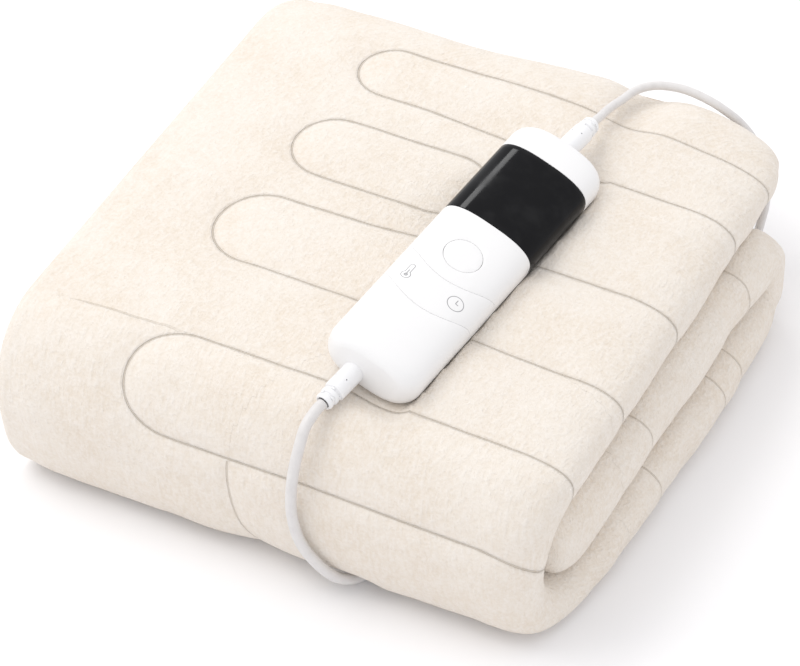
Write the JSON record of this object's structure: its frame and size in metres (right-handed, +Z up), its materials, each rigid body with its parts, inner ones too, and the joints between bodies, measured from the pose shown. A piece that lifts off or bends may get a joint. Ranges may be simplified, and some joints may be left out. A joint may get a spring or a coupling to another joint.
{
  "type": "electric heated blanket",
  "caption": "Plush quilted electric blanket, doubled and folded, with its hand controller lying on top, controller leads, and a mains lead coiled behind it.",
  "frame": {"origin": "middle of the folded cloth's footprint, on the surface it lies on", "axes": "+X to the right along the front fold, +Y from the front fold to the back, +Z up through the layers"},
  "size_m": [0.2605, 0.3165, 0.101],
  "materials": {
    "blanket": "short-pile plush, quilted",
    "controller_shell": "satin to gloss white",
    "display_window": "high gloss black",
    "relief_front": "moulded, smooth",
    "relief_back": "moulded, smooth",
    "lead_blanket": "soft cable sheath",
    "lead_mains": "soft cable sheath",
    "lead_plug": "soft cable sheath",
    "lead_coil": "soft cable sheath",
    "lead_tie": "coated wire tie",
    "mains_plug": "moulded, fine texture",
    "pin_left": "plated",
    "pin_right": "plated",
    "power_button": "satin to gloss white",
    "key_bar": "satin to gloss white"
  },
  "bodies": {
    "blanket_and_controller": {"blanket": "blanket", "controller_shell": "controller_shell", "display_window": "display_window", "relief_front": "relief_front", "relief_back": "relief_back", "lead_blanket": "lead_blanket", "lead_mains": "lead_mains", "lead_plug": "lead_plug", "lead_coil": "lead_coil", "lead_tie": "lead_tie", "mains_plug": "mains_plug", "pin_left": "pin_left", "pin_right": "pin_right"},
    "power_button": {"power_button": "power_button"},
    "key_bar": {"key_bar": "key_bar"}
  },
  "joints": [
    {"name": "power_press", "type": "slide", "parent": "blanket_and_controller", "child": "power_button", "axis": [-0.2994, 0.0283, -0.9537], "range_m": [0, 0.0007], "stiffness_N_per_m": 1500},
    {"name": "key_rock", "type": "hinge", "parent": "blanket_and_controller", "child": "key_bar", "pos_m": [0.02852, -0.04035, 0.0874], "axis": [0.0941, 0.9956, 0], "range_deg": [-1.5, 1.5], "stiffness_Nm_per_rad": 0.8}
  ]
}
